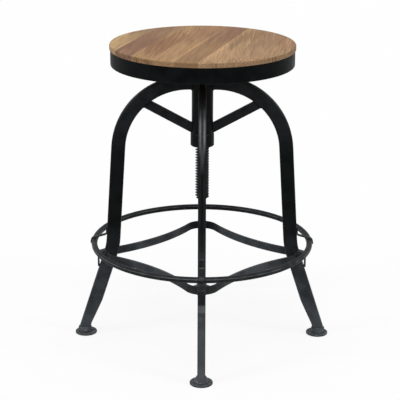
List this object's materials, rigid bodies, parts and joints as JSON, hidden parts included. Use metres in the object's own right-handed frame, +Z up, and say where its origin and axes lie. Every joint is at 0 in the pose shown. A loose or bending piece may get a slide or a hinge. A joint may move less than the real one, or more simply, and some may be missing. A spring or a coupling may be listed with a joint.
{
  "type": "swivel bar stool",
  "caption": "Round plank seat in a black steel band on a lift screw, over arched tube legs with a foot ring, a star brace and disc feet.",
  "frame": {"origin": "on the floor under the middle of the lift screw", "axes": "+Z up along the screw, +X to the stool's right seen from the front, -Y to the front"},
  "size_m": [0.514, 0.514, 0.6],
  "materials": {
    "wood": "oiled planks",
    "black_metal": "satin black powder coat",
    "nylon": "black nylon",
    "screw_steel": "zinc plated"
  },
  "bodies": {
    "frame": {"hub_tube": "black_metal", "hub_nut": "black_metal", "foot_ring": "black_metal", "leg_right": "black_metal", "leg_back": "black_metal", "leg_left": "black_metal", "leg_front": "black_metal", "strut_right": "black_metal", "strut_back": "black_metal", "strut_left": "black_metal", "strut_front": "black_metal", "ring_hanger_right": "black_metal", "ring_hanger_back": "black_metal", "ring_hanger_left": "black_metal", "ring_hanger_front": "black_metal", "knee_strap_right": "black_metal", "knee_strap_back": "black_metal", "knee_strap_left": "black_metal", "knee_strap_front": "black_metal", "foot_right": "black_metal", "foot_back": "black_metal", "foot_left": "black_metal", "foot_front": "black_metal", "foot_glide_right": "nylon", "foot_glide_back": "nylon", "foot_glide_left": "nylon", "foot_glide_front": "nylon", "brace_bar_back_right": "black_metal", "brace_bar_back_left": "black_metal", "brace_bar_front_left": "black_metal", "brace_bar_front_right": "black_metal"},
    "washer": {"thrust_washer": "nylon"},
    "seat": {"lift_screw": "black_metal", "seat_flange": "black_metal", "flange_screws": "screw_steel", "seat_band": "black_metal", "band_tab_1": "black_metal", "band_tab_2": "black_metal", "band_tab_3": "black_metal", "band_tab_4": "black_metal", "tab_screws": "screw_steel", "seat_board_1": "wood", "seat_board_2": "wood", "seat_board_3": "wood", "seat_board_4": "wood", "seat_board_5": "wood", "seat_board_6": "wood", "seat_board_7": "wood", "seat_board_8": "wood"}
  },
  "joints": [
    {"name": "seat_turn", "type": "hinge", "parent": "frame", "child": "washer", "pos_m": [0, 0, 0.543], "axis": [0, 0, 1], "range_deg": [0, 6480]},
    {"name": "seat_lift", "type": "slide", "parent": "washer", "child": "seat", "axis": [0, 0, 1], "range_m": [0, 0.0991]}
  ],
  "couplings": [
    {"joint": "seat_lift", "follows": "seat_turn", "m_per_rad": 0.00087535}
  ]
}
